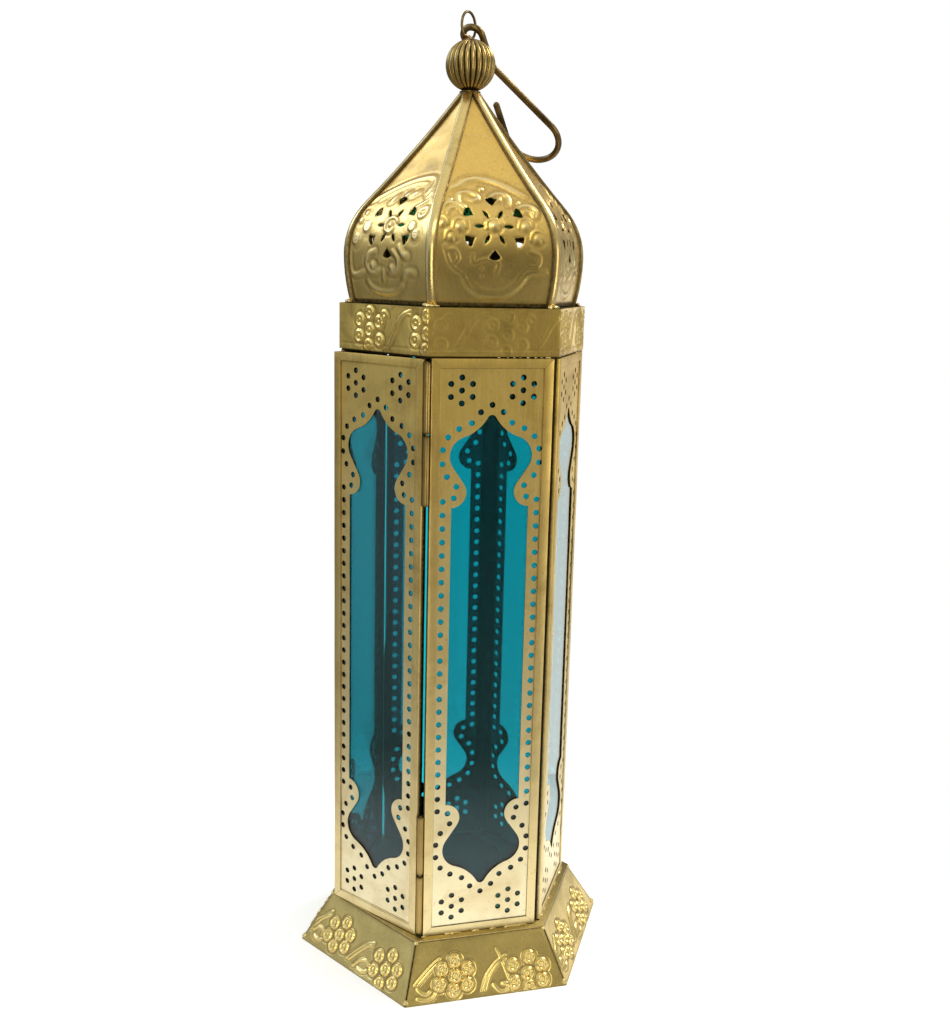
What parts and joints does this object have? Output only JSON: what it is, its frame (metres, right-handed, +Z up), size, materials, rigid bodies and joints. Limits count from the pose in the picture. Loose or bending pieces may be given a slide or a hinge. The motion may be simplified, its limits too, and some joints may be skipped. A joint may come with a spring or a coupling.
{
  "type": "ramadan fanous lantern",
  "caption": "Six-sided pierced brass fanous lantern with blue-green glass, hinged door, onion dome, fluted ball and carrying hook",
  "frame": {"origin": "centre of the foot's underside", "axes": "+Z up; the front panel faces -Y; the hinged door is the next panel to its left, turned 60 degrees"},
  "size_m": [0.1436, 0.1246, 0.41],
  "materials": {
    "panel_brass": "thin pale brass sheet, antiqued, dark in the seams",
    "old_brass": "embossed and soldered brass with an olive-gold patina",
    "dome_brass": "embossed golden brass sheet, worn bright on the high spots",
    "wire": "drawn wire with a dark bronze-brown finish",
    "glass": "smooth turquoise tinted glass"
  },
  "bodies": {
    "lantern": {"floor_plate": "old_brass", "candle_cup": "old_brass", "skirt_front": "panel_brass", "skirt_front_right": "panel_brass", "skirt_back_right": "panel_brass", "skirt_back": "panel_brass", "skirt_back_left": "panel_brass", "skirt_door": "panel_brass", "frame_front": "panel_brass", "frame_front_right": "panel_brass", "frame_back_right": "panel_brass", "frame_back": "panel_brass", "frame_back_left": "panel_brass", "fretwork_front": "panel_brass", "fretwork_front_right": "panel_brass", "fretwork_back_right": "panel_brass", "fretwork_back": "panel_brass", "fretwork_back_left": "panel_brass", "glass_front": "glass", "glass_front_right": "glass", "glass_back_right": "glass", "glass_back": "glass", "glass_back_left": "glass", "fixed_knuckle_upper": "old_brass", "fixed_knuckle_lower": "old_brass", "hinge_pin_upper": "wire", "hinge_pin_lower": "wire", "tie_ring": "old_brass", "band": "old_brass", "dome_plate": "old_brass", "gore_front": "dome_brass", "gore_front_right": "dome_brass", "gore_back_right": "dome_brass", "gore_back": "dome_brass", "gore_back_left": "dome_brass", "gore_door": "dome_brass", "rib_front_left": "old_brass", "rib_front_right": "old_brass", "rib_right": "old_brass", "rib_back_right": "old_brass", "rib_back_left": "old_brass", "rib_left": "old_brass", "neck_collar": "wire", "finial_ball": "old_brass", "loop": "wire"},
    "door": {"door_frame": "panel_brass", "door_fretwork": "panel_brass", "door_glass": "glass", "door_knuckle_upper": "old_brass", "door_knuckle_lower": "old_brass"},
    "carrying_hook": {"hook": "wire"}
  },
  "joints": [
    {"name": "door_hinge", "type": "hinge", "parent": "lantern", "child": "door", "pos_m": [-0.0267, -0.04625, 0.1469], "axis": [0, 0, 1], "range_deg": [-5, 115]},
    {"name": "hook_swing", "type": "hinge", "parent": "lantern", "child": "carrying_hook", "pos_m": [-0.00106, 0.00028, 0.40393], "axis": [0.7071, -0.7071, 0], "range_deg": [0, 130]}
  ]
}
